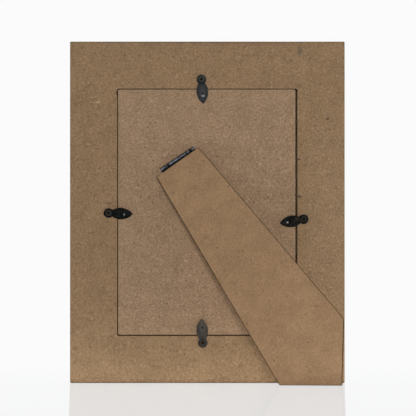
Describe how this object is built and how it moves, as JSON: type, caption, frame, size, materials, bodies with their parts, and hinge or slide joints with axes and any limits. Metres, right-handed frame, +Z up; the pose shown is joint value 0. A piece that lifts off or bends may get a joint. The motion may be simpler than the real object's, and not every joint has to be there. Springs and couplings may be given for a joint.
{
  "type": "easel back photo frame",
  "caption": "Table photo frame of fibreboard with a glazed opening, a lift-out back held by turn buttons and a diagonal hinged easel leg, shown standing open.",
  "frame": {"origin": "on the table, midway between the frame's sides and between its frontmost and rearmost points as it stands open", "axes": "+Z up; the picture faces -Y and the back faces +Y; +X to the right of a person who looks at the picture"},
  "size_m": [0.2, 0.0899, 0.2485],
  "materials": {
    "back_mdf": "matte",
    "front_lacquer": "satin",
    "clear_glass": "gloss",
    "insert_paper": "matte",
    "kraft_card": "matte",
    "board_mdf": "matte",
    "leg_mdf": "matte",
    "black_hinge_steel": "satin",
    "pin_steel": "satin",
    "black_button_steel": "satin",
    "black_screw_steel": "satin"
  },
  "bodies": {
    "moulding": {"back_ring": "back_mdf", "front_ring": "front_lacquer", "glazing": "clear_glass", "photo_insert": "insert_paper", "filler_card": "kraft_card", "backing_board": "board_mdf", "hinge_board_leaf": "black_hinge_steel", "hinge_pin": "pin_steel", "button_screw_top": "black_screw_steel", "button_screw_left": "black_screw_steel", "button_screw_right": "black_screw_steel", "button_screw_bottom": "black_screw_steel"},
    "leg": {"easel_leg": "leg_mdf", "hinge_leg_leaf": "black_hinge_steel"},
    "button_top": {"turn_button_top": "black_button_steel"},
    "button_left": {"turn_button_left": "black_button_steel"},
    "button_right": {"turn_button_right": "black_button_steel"},
    "button_bottom": {"turn_button_bottom": "black_button_steel"}
  },
  "joints": [
    {"name": "leg_hinge", "type": "hinge", "parent": "moulding", "child": "leg", "pos_m": [0.02177, -0.00895, 0.16171], "axis": [-0.8339, 0.0686, 0.5477], "range_deg": [0, 20]},
    {"name": "button_top_turn", "type": "hinge", "parent": "moulding", "child": "button_top", "pos_m": [0.00426, -0.00264, 0.21929], "axis": [0, 0.9922, -0.1243], "continuous": true},
    {"name": "button_left_turn", "type": "hinge", "parent": "moulding", "child": "button_left", "pos_m": [0.0719, -0.01472, 0.12284], "axis": [0, 0.9922, -0.1243], "continuous": true},
    {"name": "button_right_turn", "type": "hinge", "parent": "moulding", "child": "button_right", "pos_m": [-0.0701, -0.01528, 0.11837], "axis": [0, 0.9922, -0.1243], "continuous": true},
    {"name": "button_bottom_turn", "type": "hinge", "parent": "moulding", "child": "button_bottom", "pos_m": [0.0033, -0.02647, 0.02907], "axis": [0, 0.9922, -0.1243], "continuous": true}
  ]
}
